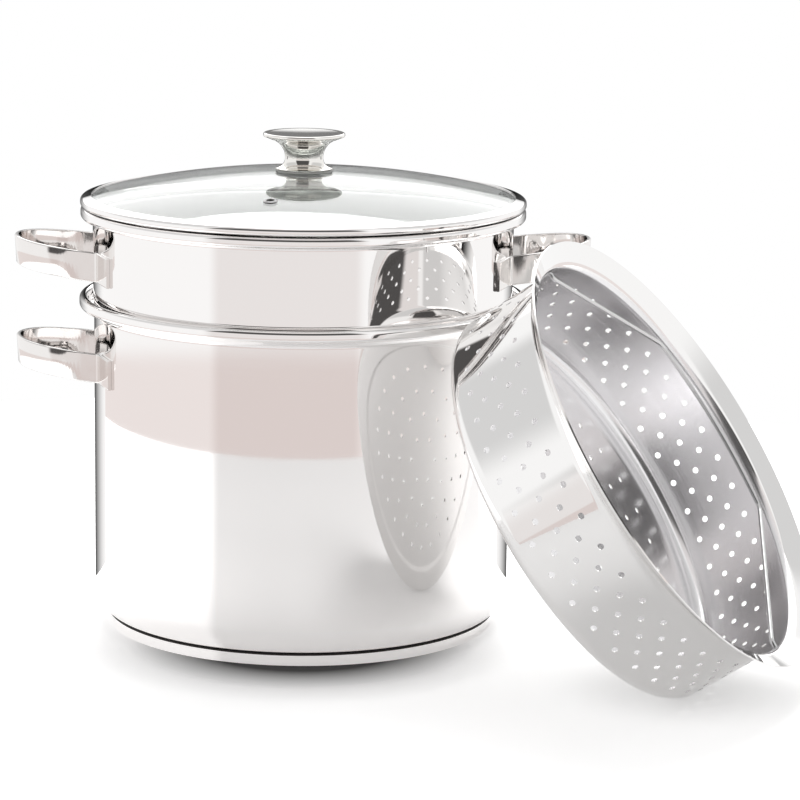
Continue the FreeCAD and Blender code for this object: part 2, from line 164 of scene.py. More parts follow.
# Even angles of a full turn
def angles(count):
    return np.arange(count) * 2 * math.pi / count


# Points of the unit circle
def circle(t):
    return np.stack([np.cos(t), np.sin(t)], 1)


# Straight runs with rounded corners. A round is points c + r (cos t, sin t) of the circle
# that touches both runs; a guard point on each run beside it keeps the runs' shading flat,
# within a third of what the rounds leave of the run.
def roundedPath(corners, radii, step=7.0, guard=0.5):
    corners = np.asarray(corners, float)
    runs = np.diff(corners, axis=0)
    turns = np.arccos(np.clip(np.sum(unit(runs)[:-1] * unit(runs)[1:], axis=1), -1, 1))
    cuts = np.asarray(radii) * np.tan(turns / 2)
    free = np.linalg.norm(runs, axis=1) - np.append(cuts, 0) - np.insert(cuts, 0, 0)
    guards = np.minimum(guard, free / 3)
    points = [corners[:1]]
    for i, (radius, turn, cut) in enumerate(zip(radii, turns, cuts)):
        corner = corners[i + 1]
        back, ahead = -unit(runs[i]), unit(runs[i + 1])
        centre = corner + unit(back + ahead) * (radius / math.cos(turn / 2))
        start, end = corner + back * cut - centre, corner + ahead * cut - centre
        count = max(2, math.ceil(math.degrees(turn) / step))
        t = np.linspace(0, turn, count + 1)[:, None]
        across = unit(end - start * (start @ end) / (start @ start))
        arc = centre + start * np.cos(t) + across * radius * np.sin(t)
        points += [arc[:1] + back * guards[i], arc, arc[-1:] + ahead * guards[i + 1]]
    points.append(corners[-1:])
    return np.concatenate(points)


# Normals to the right of a path: the mean of its two runs' normals at each point, made
# long enough to keep an even wall
def pathNormals(path):
    runs = unit(np.diff(path, axis=0))
    side = np.stack([runs[:, 1], -runs[:, 0]], 1)
    first = np.concatenate([side[:1], side])
    second = np.concatenate([side, side[-1:]])
    mean = unit(first + second)
    return mean / np.sum(mean * first, axis=1, keepdims=True)


# Quads between closed rings of points, where each ring's points follow on from the last's
def ringQuads(rings, points):
    i = np.arange(rings - 1)[:, None] * points
    j = np.arange(points)[None]
    k = (j + 1) % points
    return np.stack([i + j, i + k, i + points + k, i + points + j], 2).reshape(-1, 4)


# Surface of revolution: (r cos a, r sin a, z) over points of the path and count angles
def spin(path, count):
    def turned(values):
        flat = values[:, None, :1] * circle(angles(count))[None]
        return np.concatenate([flat, np.broadcast_to(values[:, None, 1:], flat[..., :1].shape)], 2)
    verts, normals = turned(path), turned(pathNormals(path))
    return verts.reshape(-1, 3), normals.reshape(-1, 3), ringQuads(len(path), count)


# How perforated sheet is divided: a bare collar round each hole (mm), divisions along a
# cell's upright side in a wall and in a floor, divisions of a floor's circles, and the ring
# (mm) that joins a floor to its rim
punched = {"collar": 0.3, "wallCell": 4, "floorCell": 6, "floorAround": 144, "joinRing": 2.0}


# One cell of a perforated band, in the cell's plane: along each ray from the hole's centre
# to a point of the cell's edge, a point of the hole's circle, one of the collar, and the edge
def cellRings(edge, centre, holeRadius):
    out = unit(edge - centre)
    hole = centre + out * holeRadius
    return np.stack([hole, hole + out * punched["collar"], edge])


# The outline of a rectangle, counter-clockwise, with nx points along and ny up each side
def outline(x0, x1, y0, y1, nx, ny):
    x, y = np.linspace(x0, x1, nx + 1), np.linspace(y0, y1, ny + 1)
    parts = [(x[:-1], y0 + 0 * x[:-1]), (x1 + 0 * y[:-1], y[:-1]),
             (x[:0:-1], y1 + 0 * x[:0:-1]), (x0 + 0 * y[:0:-1], y[:0:-1])]
    return np.concatenate([np.stack(part, 1) for part in parts])


# A row of holes round a wall: the cell's plane (x, z) wraps to (R cos(x/R), R sin(x/R), z)
def wallRow(radius, z0, z1, height, count, nx, holeRadius, shift):
    half = math.pi * radius / count
    edge = outline(-half, half, z0, z1, nx, punched["wallCell"])[::-1]
    rings = cellRings(edge, np.array([0.0, height]), holeRadius)
    a = (np.arange(count) + shift) * 2 * math.pi / count
    angle = a[:, None, None] + rings[None, ..., 0] / radius
    normals = np.stack([np.cos(angle), np.sin(angle), 0 * angle], -1)
    verts = normals * radius
    verts[..., 2] = rings[None, ..., 1]
    return tiled(verts, normals, ringQuads(len(rings), len(edge)))


# A ring of holes in a flat floor at height z: the cell's plane (angle, r) wraps to
# (r cos a, r sin a), a sector of an annulus, and turns to each hole's place
def floorRing(z, r0, r1, middle, count, holeRadius):
    half = math.pi / count
    polar = outline(-half, half, r0, r1, punched["floorAround"] // count,
                    punched["floorCell"])[::-1]
    edge = np.stack([polar[:, 1] * np.cos(polar[:, 0]), polar[:, 1] * np.sin(polar[:, 0])], 1)
    rings = cellRings(edge, np.array([middle, 0.0]), holeRadius)
    a = angles(count)[:, None, None]
    x, y = rings[None, ..., 0], rings[None, ..., 1]
    verts = np.stack([x * np.cos(a) - y * np.sin(a), x * np.sin(a) + y * np.cos(a),
                      z + 0 * (x + a)], -1)
    normals = np.zeros_like(verts)
    normals[..., 2] = -1
    return tiled(verts, normals, ringQuads(len(rings), len(edge)))


# The same cell's quads for each of the cells
def tiled(verts, normals, quads):
    count, size = verts.shape[0], verts.shape[1] * verts.shape[2]
    faces = (quads[None] + (np.arange(count) * size)[:, None, None]).reshape(-1, 4)
    return verts.reshape(-1, 3), normals.reshape(-1, 3), faces


# Joins patches and merges the points that coincide to a tenth of a micron
def joined(patches):
    start = np.cumsum([0] + [len(p[0]) for p in patches[:-1]])
    verts = np.concatenate([p[0] for p in patches])
    normals = np.concatenate([p[1] for p in patches])
    faces = np.concatenate([p[2] + s for p, s in zip(patches, start)])
    first, back = np.unique(np.round(verts, 4), axis=0, return_index=True,
                            return_inverse=True)[1:]
    return verts[first], normals[first], back.reshape(-1)[faces]


# Triangles between two rings of different counts: the edges of both are put in order of
# their middle angles, and each takes the other ring's next point as its apex
def zipRings(radius0, count0, radius1, count1, z):
    a0, a1 = angles(count0), angles(count1)
    verts = np.concatenate([np.stack([radius0 * np.cos(a0), radius0 * np.sin(a0), z + 0 * a0], 1),
                            np.stack([radius1 * np.cos(a1), radius1 * np.sin(a1), z + 0 * a1], 1)])
    mid0, mid1 = a0 + math.pi / count0, a1 + math.pi / count1
    apex0 = np.searchsorted(mid1, mid0) % count1
    apex1 = np.searchsorted(mid0, mid1) % count0
    i, j = np.arange(count0), np.arange(count1)
    lower = np.stack([i, (i + 1) % count0, count0 + apex0, count0 + apex0], 1)
    upper = np.stack([count0 + (j + 1) % count1, count0 + j, apex1, apex1], 1)
    normals = np.tile([0.0, 0.0, -1.0], (len(verts), 1))
    return verts, normals, np.concatenate([lower, upper])


# A sheet from its outer side: the inner side lies a thickness in along the normals, and
# each open edge gets a strip of quads
def thickened(verts, normals, faces, thickness, satinTop=None):
    count = len(verts)
    inner = verts - normals * thickness
    edges = np.concatenate([faces[:, [i, (i + 1) % 4]] for i in range(4)])
    edges = edges[edges[:, 0] != edges[:, 1]]
    pairs = np.sort(edges, axis=1)
    first, times = np.unique(pairs, axis=0, return_index=True, return_counts=True)[1:]
    rim = edges[first[times == 1]]
    strip = np.stack([rim[:, 1], rim[:, 0], rim[:, 0] + count, rim[:, 1] + count], 1)
    allFaces = np.concatenate([faces, faces[:, ::-1] + count, strip])
    satin = np.zeros(len(faces), int) if satinTop is None else (
        verts[faces, 2].mean(axis=1) < satinTop).astype(int)
    layer = np.concatenate([0 * satin, satin, np.zeros(len(strip), int)])
    facing = np.concatenate([unit(normals), -unit(normals)])
    smooth = np.arange(len(allFaces)) < 2 * len(faces)
    return np.concatenate([verts, inner]), allFaces, layer, facing, smooth


# Faces of a tube over rings of points, with the first and last ring as caps
def tubeFaces(rings, points):
    ends = [list(range(points))[::-1], list(range((rings - 1) * points, rings * points))]
    return ringQuads(rings, points).tolist() + ends


# Puts points and faces into a mesh; a face's repeated corners are dropped. The faces that
# smooth marks take their normals from facing, one vector a point, and the rest keep their
# own. The attribute holds the direction round the axis, (-y, x, 0)
def makeMesh(name, verts, faces, materials, layer=None, facing=None, smooth=None, place=None,
             sharp=35.0):
    mesh = bpy.data.meshes.new(name)
    rows = faces.tolist() if isinstance(faces, np.ndarray) else faces
    kept = [list(dict.fromkeys(face)) for face in rows]
    full = np.array([len(face) > 2 for face in kept])
    kept = [face for face in kept if len(face) > 2]
    mesh.from_pydata((verts * mm).tolist(), [], kept)
    around = np.stack([-verts[:, 1], verts[:, 0], 0 * verts[:, 0]], 1)
    turn = np.eye(3)
    if place is not None:
        mesh.transform(place)
        turn = np.array(place.to_3x3())
    mesh.attributes.new("around", "FLOAT_VECTOR", "POINT").data.foreach_set(
        "vector", (around @ turn.T).astype(np.float32).ravel())
    for material in materials:
        mesh.materials.append(material)
    if layer is not None:
        mesh.polygons.foreach_set("material_index", layer[full].astype(np.int32))
    mesh.polygons.foreach_set("use_smooth", np.ones(len(mesh.polygons), bool))
    mesh.set_sharp_from_angle(angle=math.radians(sharp))
    if facing is not None:
        corners = np.concatenate(kept)
        marked = np.repeat(smooth[full], [len(face) for face in kept])
        mesh.normals_split_custom_set((facing[corners] @ turn.T * marked[:, None]).tolist())
    mesh.update()
    piece = bpy.data.objects.new(name, mesh)
    bpy.context.scene.collection.objects.link(piece)
    return piece


# A solid turned about Z from a section (r, z): it starts and ends on the axis, or it is a
# loop that closes on itself
def turnedSolid(name, section, count, materials, place=None, sharp=35.0, loop=False):
    section = np.asarray(section, float)
    if loop:
        section = np.concatenate([section, section[:1]])
    verts, faces = joined([spin(section, count)])[::2]
    return makeMesh(name, verts, faces, materials, place=place, sharp=sharp)


# Hides the node a piece stands for and puts the piece on the body it rides
def standFor(piece, node, body):
    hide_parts(node)
    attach(piece, body)


# The camera stands where the photograph's did: solved from the pot's own rims
camera = {"back": 1912.7, "height": 510.0, "yaw": 1.7006, "pitch": 11.2549, "roll": 0.7171,
          "lens": 150.66, "sensor": 36.0, "sees": 20000.0}


# Looks along (sin yaw cos pitch, cos yaw cos pitch, -sin pitch), rolled about that line
def makeCamera():
    yaw, pitch, roll = [math.radians(camera[key]) for key in ("yaw", "pitch", "roll")]
    ahead = np.array([math.sin(yaw) * math.cos(pitch), math.cos(yaw) * math.cos(pitch),
                      -math.sin(pitch)])
    right = unit(np.cross(ahead, [0, 0, 1]))
    up = np.cross(right, ahead)
    x = math.cos(roll) * right + math.sin(roll) * up
    y = -math.sin(roll) * right + math.cos(roll) * up
    data = bpy.data.cameras.new("camera")
    data.lens, data.sensor_width = camera["lens"], camera["sensor"]
    data.clip_end = camera["sees"] * mm
    eye = bpy.data.objects.new("camera", data)
    eye.matrix_world = Matrix(np.c_[np.stack([x, y, -ahead], 1),
                                    [0, -camera["back"] * mm, camera["height"] * mm]].tolist()
                              + [[0, 0, 0, 1]])
    bpy.context.scene.collection.objects.link(eye)
    bpy.context.scene.camera = eye


makeCamera()
print("camera set")

# Finishes
# Stainless sheet, mirror polished: a warm white metal that shows its surroundings sharply
polishedSteel = spunSteel("mirrorPolishedStainless", {
    "colour": "#F6F4F3", "roughness": (0.02, 0.045), "lineSpacing": 1.2, "lineDepth": 0.0002,
    "aroundScale": 3.0, "waveLength": 90.0, "waveDepth": 0.008})
# Stainless sheet left as drawn inside: satin, with faint rings
satinSteel = spunSteel("satinStainless", {
    "colour": "#F8F8F7", "roughness": (0.42, 0.54), "lineSpacing": 0.9, "lineDepth": 0.004,
    "aroundScale": 2.0, "waveLength": 50.0, "waveDepth": 0.03, "brushed": 0.5})
# Stainless strap, buffed: bright with soft edges
strapSteel = plainFinish("buffedStrapStainless", {
    "colour": "#EDEAE8", "roughness": (0.06, 0.11), "grain": 6.0, "depth": 0.003})
# Drawn stainless wire: bright, with a fine grain along it
wireSteel = plainFinish("drawnWireStainless", {
    "colour": "#D8D8D8", "roughness": (0.12, 0.2), "grain": 0.8, "depth": 0.002})
# Plain stainless fasteners under the glass
fastenerSteel = plainFinish("plainStainlessFastener", {
    "colour": "#C9C9C9", "roughness": (0.2, 0.3), "grain": 0.6, "depth": 0.002})
# Aluminium disc, closed in between pot and cap
coreAluminium = plainFinish("rolledAluminium", {
    "colour": "#D0D1D3", "roughness": (0.35, 0.45), "grain": 1.5, "depth": 0.002})
# Brazing metal in the joint of the base, oxidised, and a painted shade of the groove where the cap
# meets the pot's corner: dark and matt
brazingAndGrooveShade = plainFinish("oxidisedBrazingAndGrooveShade", {
    "colour": "#3A3736", "roughness": (0.5, 0.6), "grain": 0.8, "depth": 0.002})
# Silicone washer: matt, translucent grey
siliconeGrey = plainFinish("greySilicone", {
    "colour": "#C4C4C2", "metallic": 0.0, "roughness": (0.45, 0.6), "grain": 1.0, "depth": 0.002})


# Soda-lime glass, pressed and tempered: clear, with a trace of green in its thickness
glassLook = {"colour": "#FAFDFB", "refraction": 1.5, "waveLength": 45.0, "waveDepth": 0.05}


def temperedGlass():
    material, tree = newMaterial("temperedSodaLimeGlass")
    coords = addNode(tree, "ShaderNodeTexCoord").outputs["Object"]
    wave = addNode(tree, "ShaderNodeTexNoise", None, {
        "Vector": coords, "Scale": 1 / (glassLook["waveLength"] * mm), "Detail": 1.0})
    bump = addNode(tree, "ShaderNodeBump", None, {
        "Height": wave, "Distance": glassLook["waveDepth"] * mm, "Strength": 1.0})
    shader = addNode(tree, "ShaderNodeBsdfPrincipled", None, {
        "Base Color": hexColour(glassLook["colour"]), "Roughness": 0.0,
        "IOR": glassLook["refraction"],
        "Transmission Weight": 1.0, "Normal": bump})
    endMaterial(tree, shader)
    return material


glassClear = temperedGlass()
print("materials made")

# A lip flared from the wall (r, lip - rise) and then rolled over outwards into a bead, whose
# outer side lies at r + reach and its top at lip: the corners and their radii
def rolledLip(r, lip, look, sheet):
    flare = look["beadInner"] * look["lipRise"] / look["lipReach"]
    inner, outer, top = r + look["beadInner"], r + look["lipReach"] - sheet, lip - sheet
    low = lip - look["beadDepth"]
    corners = [(r, lip - look["lipRise"]), (inner, lip - look["lipRise"] + flare), (inner, top),
               (outer, top), (outer, low), (outer - look["beadTail"], low)]
    return corners, [look["lipBend"], look["lipBend"], look["beadRound"], look["beadRound"],
                     look["tailRound"]]


# The pot: sheet drawn with a round corner and a flared lip, rolled over at its edge
pot = {"sheet": 0.8, "radius": 120.5, "floor": 4.6, "corner": 17.0, "lipHeight": 192.1,
       "lipReach": 8.4, "lipRise": 10.0, "lipBend": 3.0, "beadInner": 4.2, "beadDepth": 6.0,
       "beadRound": 1.6, "beadTail": 2.0, "tailRound": 1.2, "around": 360}


def makePot():
    r, lip = pot["radius"], pot["lipHeight"]
    corners, radii = rolledLip(r, lip, pot, pot["sheet"])
    path = roundedPath([(0, pot["floor"]), (r, pot["floor"])] + corners, [pot["corner"]] + radii)
    shell = thickened(*joined([spin(path, pot["around"])]), pot["sheet"], lip - pot["lipRise"])
    piece = makeMesh("potVessel", shell[0], shell[1], [polishedSteel, satinSteel], *shell[2:])
    standFor(piece, "pot_body", "root")


makePot()

# The cap of the base, up to where the pot's corner passes its inner wall, with a dark line along
# its upper edge: the brazed joint, and with it a painted shade of the groove under the pot's corner
baseCap = {"sheet": 0.6, "radius": 112.9, "bend": 1.5, "joint": 0.9, "around": 300}


def makeBaseCap():
    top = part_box("base_cap")[1][2] / mm
    r = baseCap["radius"]
    path = roundedPath([(0, 0), (r, 0), (r, top - baseCap["joint"])], [baseCap["bend"]], step=15)
    path = np.concatenate([path, [(r, top)]])
    shell = thickened(*joined([spin(path, baseCap["around"])]), baseCap["sheet"])
    verts, faces = shell[:2]
    # The band along the top edge takes the dark joint colour: brazing, and painted shade of the
    # groove
    layer = (verts[faces, 2].mean(axis=1) > top - baseCap["joint"]).astype(int)
    piece = makeMesh("baseCap", verts, faces, [polishedSteel, brazingAndGrooveShade], layer, *shell[3:])
    standFor(piece, "base_cap", "root")


makeBaseCap()

# The insert: a perforated wall and floor, a shoulder that sits in the pot's lip, a plain
# collar and a lip of its own
insert = {"sheet": 0.8, "floor": 30.0, "wall": 115.0, "corner": 12.0, "shoulderBend": 3.0,
          "collar": 121.05, "collarBend": 235.6, "lipReach": 6.95, "lipRise": 7.4,
          "lipBend": 2.0, "beadInner": 2.75, "beadDepth": 5.4, "beadRound": 1.6,
          "beadTail": 1.95, "tailRound": 1.1, "rows": 4, "perRow": 18, "hole": 3.0,
          "rowMargin": 30.0, "floorRings": 3, "floorPitch": 26.0, "around": 360,
          "seatGap": 0.15, "stepSlope": 45.0}


# The height at which the shoulder's bend touches the pot's flare. The bend's centre lies
# (across + sheet + bend + gap) / sin(flare) above the flare's start, where across is its
# distance outside the pot's wall times cos(flare)
def shoulderHeight():
    flare = math.atan2(pot["lipReach"], pot["lipRise"])
    bend = insert["shoulderBend"]
    inside = insert["sheet"] + bend + insert["seatGap"]
    across = (insert["collar"] - bend - pot["radius"]) * math.cos(flare)
    centre = pot["lipHeight"] - pot["lipRise"] + (across + inside) / math.sin(flare)
    return centre - bend * math.tan(math.radians(insert["stepSlope"] / 2))


# The floor out to the last ring of holes, six more in each, then a zip to the rim's finer
# division
def perforatedFloor(z, rings, pitch, holeRadius, edge, around):
    fine = punched["floorAround"]
    patches = [spin(np.array([(0, z), (pitch / 2, z)]), fine)]
    for ring in range(1, rings + 1):
        patches.append(floorRing(z, pitch * (ring - 0.5), pitch * (ring + 0.5), pitch * ring,
                                 6 * ring, holeRadius))
    patches.append(zipRings(pitch * (rings + 0.5), fine, edge, around, z))
    return patches


# Staggered rows: every other one is turned by half a hole's pitch
def perforatedWall(radius, heights, pitch, perRow, holeRadius, around):
    return [wallRow(radius, height - pitch / 2, height + pitch / 2, height, perRow,
                    around // perRow, holeRadius, 0.5 * (row % 2))
            for row, height in enumerate(heights)]


def makeInsert():
    shoulder, z, r = shoulderHeight(), insert["floor"], insert["wall"]
    step = insert["collar"] - r
    low, high = z + insert["rowMargin"], shoulder - insert["rowMargin"]
    heights = np.linspace(low, high, insert["rows"])
    pitch = heights[1] - heights[0]
    edge = insert["floorPitch"] * (insert["floorRings"] + 0.5) + punched["joinRing"]
    path = roundedPath([(edge, z), (r, z), (r, low - pitch / 2)], [insert["corner"]])
    corners, radii = rolledLip(insert["collar"], insert["collarBend"] + insert["lipRise"],
                               insert, insert["sheet"])
    upper = roundedPath([(r, high + pitch / 2), (r, shoulder - step),
                         (insert["collar"], shoulder)] + corners,
                        [insert["shoulderBend"], insert["shoulderBend"]] + radii)
    patches = perforatedFloor(z, insert["floorRings"], insert["floorPitch"], insert["hole"],
                              edge, insert["around"])
    patches += [spin(path, insert["around"]), spin(upper, insert["around"])]
    patches += perforatedWall(r, heights, pitch, insert["perRow"], insert["hole"], insert["around"])
    shell = thickened(*joined(patches), insert["sheet"], insert["collarBend"])
    piece = makeMesh("pastaInsert", shell[0], shell[1], [polishedSteel, satinSteel], *shell[2:])
    standFor(piece, "insert_body", "root")


makeInsert()
print("pot and insert made")

# The lid: a dome of glass in a steel ring
lid = {"thickness": 3.0, "radius": 126.6, "dome": 520.0, "bore": 3.25, "fit": 0.1,
       "ringSheet": 0.6, "ringRadius": 128.2, "ringInner": 122.0, "ringEdge": 2.0,
       "ringFold": 1.6, "skirt": 119.6, "skirtDepth": 4.5, "skirtBend": 0.8, "rings": 60,
       "gasketGap": 0.05, "around": 360}
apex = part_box("knob_gasket")[0][2] / mm - lid["gasketGap"]
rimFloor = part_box("lid_rim")[0][2] / mm + lid["skirtDepth"]


# Height of a sphere of radius R about the lid's axis: apex - D + sqrt(R^2 - r^2)
def domeHeight(sphere, r):
    return apex - lid["dome"] + np.sqrt(sphere ** 2 - np.asarray(r) ** 2)


def makeGlass():
    r = np.linspace(lid["bore"], lid["radius"], lid["rings"])
    top = np.stack([r, domeHeight(lid["dome"], r)], 1)
    under = np.stack([r, domeHeight(lid["dome"] - lid["thickness"], r)], 1)
    section = np.concatenate([under, top[::-1]])
    piece = turnedSolid("glassDome", section, lid["around"], [glassClear], loop=True)
    standFor(piece, "lid_glass", "root")


def makeRing():
    cover = lid["fit"] + lid["ringSheet"]
    inner, outer = lid["ringInner"], lid["ringRadius"]
    path = roundedPath([(inner, domeHeight(lid["dome"], inner) + cover),
                        (outer, domeHeight(lid["dome"], outer) + cover), (outer, rimFloor),
                        (lid["skirt"], rimFloor), (lid["skirt"], rimFloor - lid["skirtDepth"])],
                       [lid["ringEdge"], lid["ringFold"], lid["skirtBend"]], step=10,
                       guard=0.2)[::-1]
    shell = thickened(*joined([spin(path, lid["around"])]), lid["ringSheet"])
    piece = makeMesh("lidRing", shell[0], shell[1], [polishedSteel], *shell[2:])
    standFor(piece, "lid_rim", "root")


makeGlass()
makeRing()
print("lid made")

# The knob: a waisted body under a thin dished disc, turned and polished to a mirror
knob = {"base": 16.45, "waist": 10.95, "waistHeight": 6.6, "neck": 19.1, "neckHeight": 17.3,
        "edge": 0.8, "chamfer": 0.3, "top": 23.5, "topThickness": 2.0, "topFlare": 1.7,
        "rimWidth": 3.5, "dish": 0.6, "rounds": (1.0, 0.7, 0.9, 12.0), "around": 160}


# The arc that leaves the waist upright and reaches (r, z): radius (a^2 + b^2) / 2a
def waistArc(end, waistZ, count=14):
    a, b = end[0] - knob["waist"], end[1] - waistZ
    radius = (a * a + b * b) / (2 * a)
    t = np.linspace(0, math.atan2(b, radius - a), count)
    return np.stack([knob["waist"] + radius * (1 - np.cos(t)), waistZ + radius * np.sin(t)], 1)


def makeKnob():
    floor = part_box("knob_stem")[0][2] / mm
    ceiling = floor + knob["neckHeight"]
    waistZ = floor + knob["waistHeight"]
    low = waistArc((knob["base"], floor + knob["edge"]), waistZ)[::-1]
    high = waistArc((knob["neck"], ceiling), waistZ)[1:]
    section = np.concatenate([[(0, floor), (knob["base"] - knob["chamfer"], floor),
                               (knob["base"], floor + knob["chamfer"])], low, high,
                              [(0, ceiling)]])
    stem = turnedSolid("knobStem", section, knob["around"], [knobSteel], sharp=50)
    standFor(stem, "knob_stem", "root")
    rim = ceiling + knob["topFlare"]
    crown = rim + knob["topThickness"]
    r = knob["top"]
    outer = roundedPath([(0, ceiling), (knob["neck"], ceiling), (r, rim), (r, crown),
                         (r - knob["rimWidth"], crown), (0, crown - knob["dish"])],
                        knob["rounds"], step=12, guard=0.15)
    disc = turnedSolid("knobDisc", outer, knob["around"], [knobSteel], sharp=50)
    standFor(disc, "knob_top", "root")


# Stainless turned and polished to a mirror
knobSteel = plainFinish("polishedTurnedStainless", {
    "colour": "#EDEBE7", "roughness": (0.03, 0.06), "grain": 4.0, "depth": 0.0015})
makeKnob()

# The eyelet in the glass: a rolled collar above and below a short tube
vent = {"distance": 83.0, "bearing": -102.8, "bore": 2.2, "wall": 0.5, "flange": 4.25,
        "roll": 0.7, "crest": 0.3, "seam": 1.0, "around": 64,
        "rounds": (0.3, 0.5, 0.15, 0.05, 0.05, 0.05, 0.2, 0.3, 0.3)}


def makeVent():
    tilt = math.asin(vent["distance"] / lid["dome"])
    height = float(domeHeight(lid["dome"], vent["distance"]))
    place = (Matrix.Rotation(math.radians(vent["bearing"]), 4, "Z")
             @ Matrix.Translation((vent["distance"] * mm, 0, height * mm))
             @ Matrix.Rotation(tilt, 4, "Y"))
    r0, r1, r2 = vent["bore"], vent["bore"] + vent["wall"], vent["flange"]
    roll, crest, fit = vent["roll"], vent["crest"], lid["fit"]
    deep = lid["thickness"] + fit
    section = roundedPath([(r0, 0), (r0, roll), (r1 + crest, roll + fit), (r2, crest),
                           (r2, fit), (r1, fit), (r1, -deep), (r2, -deep),
                           (r2, -deep - roll), (r0, -deep - roll), (r0, -vent["seam"])],
                          vent["rounds"], step=20, guard=0.02)
    piece = turnedSolid("ventEyelet", section[::-1], vent["around"], [ventSteelAndShade], place, loop=True)
    standFor(piece, "vent_grommet", "root")


# Plain stainless eyelet, rolled over and left unpolished, its colour darkened as a painted shade of
# its hole and of the lower flange's shadow
ventSteelAndShade = plainFinish("rolledEyeletPaintedShade", {
    "colour": "#8C8B8B", "roughness": (0.2, 0.3), "grain": 0.6, "depth": 0.001})
makeVent()
print("knob and vent made")

# Loop handles: a strap bent in plan, its ends spot-welded flat to the wall, and the heights
# of its middle on the pot and on the insert
strap = {"onPot": 154.0, "onInsert": 212.2, "height": 16.8, "thickness": 2.0,
         "halfWidth": 36.5, "length": 47.0, "footHalfWidth": 54.0, "footBend": 3.5,
         "tilt": 7.0, "edge": 0.6, "weldGap": 0.05, "crownTop": 2.6, "crownBottom": 3.6,
         "flatBend": 6.0, "crownRun": 14.0, "arcPoints": 12, "legPoints": 6, "loopPoints": 61}


# The strap's middle line in plan: round the wall at radius middle, out round a foot bend
# that touches the wall's circle and the straight leg, and round a half circle
def strapLine(wall):
    middle = wall + strap["weldGap"] + strap["thickness"] / 2
    bend, half = strap["footBend"], strap["halfWidth"]
    bendY = half + bend
    bendX = math.sqrt((middle + bend) ** 2 - bendY ** 2)
    lean = math.atan2(bendY, bendX)
    arc = strap["arcPoints"]
    foot = np.linspace(math.asin(strap["footHalfWidth"] / middle), lean, arc)
    onWall = middle * circle(foot)
    turn = np.linspace(lean + math.pi, 1.5 * math.pi, arc)
    onBend = np.array([bendX, bendY]) + bend * circle(turn)
    endX = wall + strap["length"] - strap["thickness"] / 2 - half
    around = np.linspace(math.pi / 2, -math.pi / 2, strap["loopPoints"])
    loop = np.array([endX, 0]) + half * circle(around)
    leg = np.linspace(onBend[-1], loop[0], strap["legPoints"])[1:-1]
    side = np.concatenate([onWall[:-1], onBend, leg])
    return np.concatenate([side, loop, (side * [1, -1])[::-1]])


# The strap's section: a rectangle (thickness, height) with rounded edges
def strapSection():
    t, h, r = strap["thickness"] / 2, strap["height"] / 2, strap["edge"]
    corners = [(0, -h), (t, -h), (t, h), (-t, h), (-t, -h), (0, -h)]
    return roundedPath(corners, [r] * 4, step=18, guard=0.3)[:-1]


# Surface P(u) + n(u) (a(v) + w(u) c(v)) + z (b(v) + x tan(tilt)) over the line u and the
# section v. The crown c = -crown (b / half height)^2 curls the strap's edges inward, and its
# share w rises from 0 at the welded feet to 1 along the loop's legs
def makeHandle(name, node, wall, height, turn):
    line, section = strapLine(wall), strapSection()
    runs = np.gradient(line, axis=0)
    side = unit(np.stack([-runs[:, 1], runs[:, 0]], 1))
    up = section[:, 1] / (strap["height"] / 2)
    crown = up ** 2 * np.where(up > 0, strap["crownTop"], strap["crownBottom"])
    share = np.clip((line[:, 0] - wall - strap["flatBend"]) / strap["crownRun"], 0, 1)
    share = share * share * (3 - 2 * share)
    across = section[None, :, 0] - share[:, None] * crown[None]
    flat = line[:, None] + side[:, None] * across[..., None]
    rise = height + section[None, :, 1] + (flat[..., 0] - wall) * math.tan(
        math.radians(strap["tilt"]))
    verts = np.concatenate([flat, rise[..., None]], 2).reshape(-1, 3)
    piece = makeMesh(name, verts, tubeFaces(len(line), len(section)), [strapSteel],
                     place=Matrix.Rotation(turn, 4, "Z"), sharp=40)
    standFor(piece, node, "root")


for sideName, turn in (("Right", 0.0), ("Left", math.pi)):
    makeHandle("potHandle" + sideName, "pot_handle_" + sideName.lower(), pot["radius"],
               strap["onPot"], turn)
    makeHandle("insertHandle" + sideName, "insert_handle_" + sideName.lower(),
               insert["collar"], strap["onInsert"], turn)
print("handles made")

# The steamer basket, drawn upright and then leaned as the frame has it
basket = {"sheet": 0.8, "radius": 118.0, "corner": 8.4, "lipHeight": 67.8, "lipReach": 12.5,
          "lipRise": 7.2, "lipBend": 7.0, "step": 96.0, "stepWidth": 3.0, "stepHeight": 2.0,
          "stepBend": 1.2, "rows": 5, "perRow": 40, "hole": 1.75, "firstRow": 15.0,
          "rowPitch": 7.75, "floorRings": 4, "floorPitch": 19.0, "around": 320,
          "bailHeight": 57.5}


# The basket's frame: the bail's hinge lies along its second axis, its first is level, and
# the third is the basket's own axis, on which the hinge's middle lies
def leanPlace():
    up = -np.array(joint["axis"])
    side = unit(np.cross(up, [0, 0, 1]))
    axis = np.cross(side, up)
    middle = np.array(joint["pos_m"]) - axis * basket["bailHeight"] * mm
    return Matrix(np.c_[np.stack([side, up, axis], 1), middle].tolist() + [[0, 0, 0, 1]])


leaned = leanPlace()
basketPolished = spunSteel("mirrorPolishedBasket", {
    "colour": "#F4F3F2", "roughness": (0.03, 0.06), "lineSpacing": 1.2, "lineDepth": 0.0004,
    "aroundScale": 3.0, "waveLength": 70.0, "waveDepth": 0.012}, leaned)
basketSatin = spunSteel("satinBasket", {
    "colour": "#F1F0F1", "roughness": (0.17, 0.27), "lineSpacing": 0.9, "lineDepth": 0.003,
    "aroundScale": 2.0, "waveLength": 40.0, "waveDepth": 0.04, "brushed": 0.6}, leaned)


